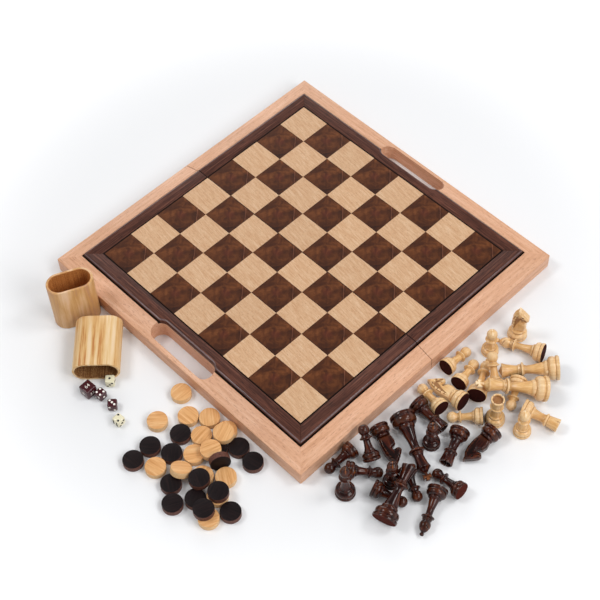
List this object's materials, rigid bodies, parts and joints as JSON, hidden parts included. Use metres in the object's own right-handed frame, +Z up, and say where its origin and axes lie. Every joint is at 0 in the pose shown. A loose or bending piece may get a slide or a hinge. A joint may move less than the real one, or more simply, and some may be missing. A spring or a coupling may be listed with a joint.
{
  "type": "folding games compendium box",
  "caption": "Hinged wooden chessboard case with handle slots and a backgammon interior, open and board side up, with chessmen, draughts, dice and oval dice cups lying beside it.",
  "frame": {"origin": "the middle of the fold between the two half trays, at the level of their rims, which is also the table", "axes": "+Y along the fold, +Z up out of the chessboard, +X across the fold towards the right half"},
  "size_m": [0.4958, 0.5214, 0.0634],
  "materials": {
    "cream_dice": "glossy",
    "stained_wood": "glossy lacquer over dark red-brown stained turned wood",
    "dark_draught_wood": "dark stain, satin",
    "maroon_dice": "glossy",
    "brass": "polished",
    "walnut": "satin lacquer over dark walnut",
    "beech": "satin lacquer over straight-grained beech",
    "burl_veneer": "dark burl veneer, satin",
    "maple_veneer": "light straight-grained veneer, satin",
    "black_line": "black-dyed stringing under lacquer",
    "magnet": "nickel plated",
    "plywood": "sanded plywood",
    "boxwood": "satin lacquer over pale turned wood",
    "light_draught_wood": "satin",
    "laminated_wood": "satin lacquer over laminated strips"
  },
  "bodies": {
    "left_tray": {"left_back_lipping": "walnut", "left_back_rail": "beech", "left_dark_points": "burl_veneer", "left_dark_squares": "burl_veneer", "left_front_lipping": "walnut", "left_front_rail": "beech", "left_handle_rail": "beech", "left_hinge_leaves": "brass", "left_hinge_screws": "brass", "left_light_points": "maple_veneer", "left_light_squares": "maple_veneer", "left_line": "black_line", "left_long_lipping": "walnut", "left_magnets": "magnet", "left_panel": "plywood", "left_spine": "beech", "hinge_pins": "brass"},
    "right_tray": {"right_back_lipping": "walnut", "right_back_rail": "beech", "right_dark_points": "burl_veneer", "right_dark_squares": "burl_veneer", "right_front_lipping": "walnut", "right_front_rail": "beech", "right_handle_rail": "beech", "right_hinge_leaves": "brass", "right_hinge_screws": "brass", "right_light_points": "maple_veneer", "right_light_squares": "maple_veneer", "right_line": "black_line", "right_long_lipping": "walnut", "right_magnets": "magnet", "right_panel": "plywood", "right_spine": "beech"},
    "standing_cup": {"standing_cup": "laminated_wood", "standing_cup_bottom": "laminated_wood"},
    "lying_cup": {"lying_cup": "laminated_wood", "lying_cup_bottom": "laminated_wood"},
    "doubling_cube": {"doubling_cube": "maroon_dice"},
    "maroon_die_1": {"maroon_die_1": "maroon_dice"},
    "maroon_die_2": {"maroon_die_2": "maroon_dice"},
    "cream_die_1": {"cream_die_1": "cream_dice"},
    "cream_die_2": {"cream_die_2": "cream_dice"},
    "draughts": {"dark_draughts": "dark_draught_wood", "light_draughts": "light_draught_wood"},
    "light_men": {"light_bishops": "boxwood", "light_king": "boxwood", "light_knights": "boxwood", "light_pawns": "boxwood", "light_queen": "boxwood", "light_rooks": "boxwood"},
    "dark_men": {"dark_bishops": "stained_wood", "dark_king": "stained_wood", "dark_knights": "stained_wood", "dark_pawns": "stained_wood", "dark_queen": "stained_wood", "dark_rooks": "stained_wood"}
  },
  "joints": [
    {"name": "fold", "type": "hinge", "parent": "left_tray", "child": "right_tray", "pos_m": [0, 0, -0.0002], "axis": [0, 1, 0], "range_deg": [0, 180]},
    {"name": "standing_cup_lift", "type": "slide", "parent": "left_tray", "child": "standing_cup", "axis": [0, 0, 1], "range_m": [0, 0.06]},
    {"name": "lying_cup_lift", "type": "slide", "parent": "left_tray", "child": "lying_cup", "axis": [0, 0, 1], "range_m": [0, 0.06]},
    {"name": "doubling_cube_lift", "type": "slide", "parent": "left_tray", "child": "doubling_cube", "axis": [0, 0, 1], "range_m": [0, 0.06]},
    {"name": "maroon_die_1_lift", "type": "slide", "parent": "left_tray", "child": "maroon_die_1", "axis": [0, 0, 1], "range_m": [0, 0.06]},
    {"name": "maroon_die_2_lift", "type": "slide", "parent": "left_tray", "child": "maroon_die_2", "axis": [0, 0, 1], "range_m": [0, 0.06]},
    {"name": "cream_die_1_lift", "type": "slide", "parent": "left_tray", "child": "cream_die_1", "axis": [0, 0, 1], "range_m": [0, 0.06]},
    {"name": "cream_die_2_lift", "type": "slide", "parent": "left_tray", "child": "cream_die_2", "axis": [0, 0, 1], "range_m": [0, 0.06]},
    {"name": "draughts_lift", "type": "slide", "parent": "left_tray", "child": "draughts", "axis": [0, 0, 1], "range_m": [0, 0.06]},
    {"name": "light_men_lift", "type": "slide", "parent": "left_tray", "child": "light_men", "axis": [0, 0, 1], "range_m": [0, 0.06]},
    {"name": "dark_men_lift", "type": "slide", "parent": "left_tray", "child": "dark_men", "axis": [0, 0, 1], "range_m": [0, 0.06]}
  ]
}
